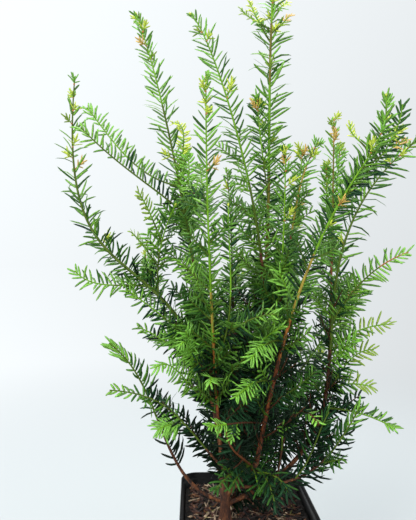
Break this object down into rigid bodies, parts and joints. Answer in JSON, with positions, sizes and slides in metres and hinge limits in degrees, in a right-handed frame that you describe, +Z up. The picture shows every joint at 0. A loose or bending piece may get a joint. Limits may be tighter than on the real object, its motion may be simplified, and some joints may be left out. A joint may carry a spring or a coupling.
{
  "type": "young english yew in nursery pot",
  "caption": "Young English yew: upright needle-clad shoots forking low from one short trunk, rooted under bark mulch in a square black nursery pot.",
  "frame": {"origin": "centre of the pot's flat underside", "axes": "+Z up along the pot's axis, -Y towards the plant's open front, +X to the right seen from the front"},
  "size_m": [0.5508, 0.3586, 0.954],
  "materials": {
    "pot_plastic": "thin black polypropylene, slightly glossy",
    "bark_mulch": "damp shredded pine bark",
    "bark": "thin scaly red-brown bark",
    "needles_dark": "older needles, waxy",
    "needles_green": "grown needles, waxy",
    "needles_fresh": "this year's soft needles, satin"
  },
  "bodies": {
    "root": {"pot": "pot_plastic", "mulch": "bark_mulch", "trunk": "bark", "bough_right_limb": "bark", "bough_far_left": "bark", "bough_leader": "bark", "bough_right_front": "bark", "bough_right_rear": "bark", "bough_left": "bark", "bough_centre": "bark", "bough_centre_left": "bark", "bough_centre_right": "bark", "bough_rear_centre": "bark", "bough_right_inner": "bark", "bough_right_orange": "bark", "bough_rear_left": "bark", "bough_rear_right": "bark", "bough_rear_low_left": "bark", "bough_rear_low_right": "bark", "bough_low_left": "bark", "bough_low_right": "bark", "bough_long_left": "bark", "foliage_far_left": "needles_green", "foliage_leader": "needles_green", "foliage_right_front": "needles_green", "foliage_right_rear": "needles_green", "foliage_left": "needles_green", "foliage_centre": "needles_green", "foliage_centre_left": "needles_green", "foliage_centre_right": "needles_dark", "foliage_rear_centre": "needles_dark", "foliage_right_inner": "needles_dark", "foliage_right_orange": "needles_green", "foliage_rear_left": "needles_green", "foliage_rear_right": "needles_green", "foliage_rear_low_left": "needles_dark", "foliage_rear_low_right": "needles_dark", "foliage_rear_outer_left": "needles_dark", "foliage_rear_outer_right": "needles_dark", "foliage_rear_middle": "needles_dark", "foliage_low_left": "needles_dark", "foliage_low_right": "needles_dark", "foliage_long_left": "needles_dark", "foliage_left_arch": "needles_green", "foliage_left_arch_rear": "needles_green", "foliage_left_inner": "needles_dark", "foliage_left_arm": "needles_green", "foliage_left_under": "needles_dark", "foliage_left_twig": "needles_dark", "foliage_right_mid": "needles_fresh", "foliage_right_spray_high": "needles_fresh", "foliage_right_spray_low": "needles_fresh", "foliage_low_right_tip": "needles_fresh", "foliage_front_fork": "needles_fresh", "foliage_front_long": "needles_fresh", "foliage_front_fan_high": "needles_fresh", "foliage_front_fan_mid": "needles_fresh", "foliage_front_fan_low": "needles_fresh", "foliage_front_spray": "needles_fresh", "foliage_front_foot": "needles_fresh"}
  },
  "joints": []
}
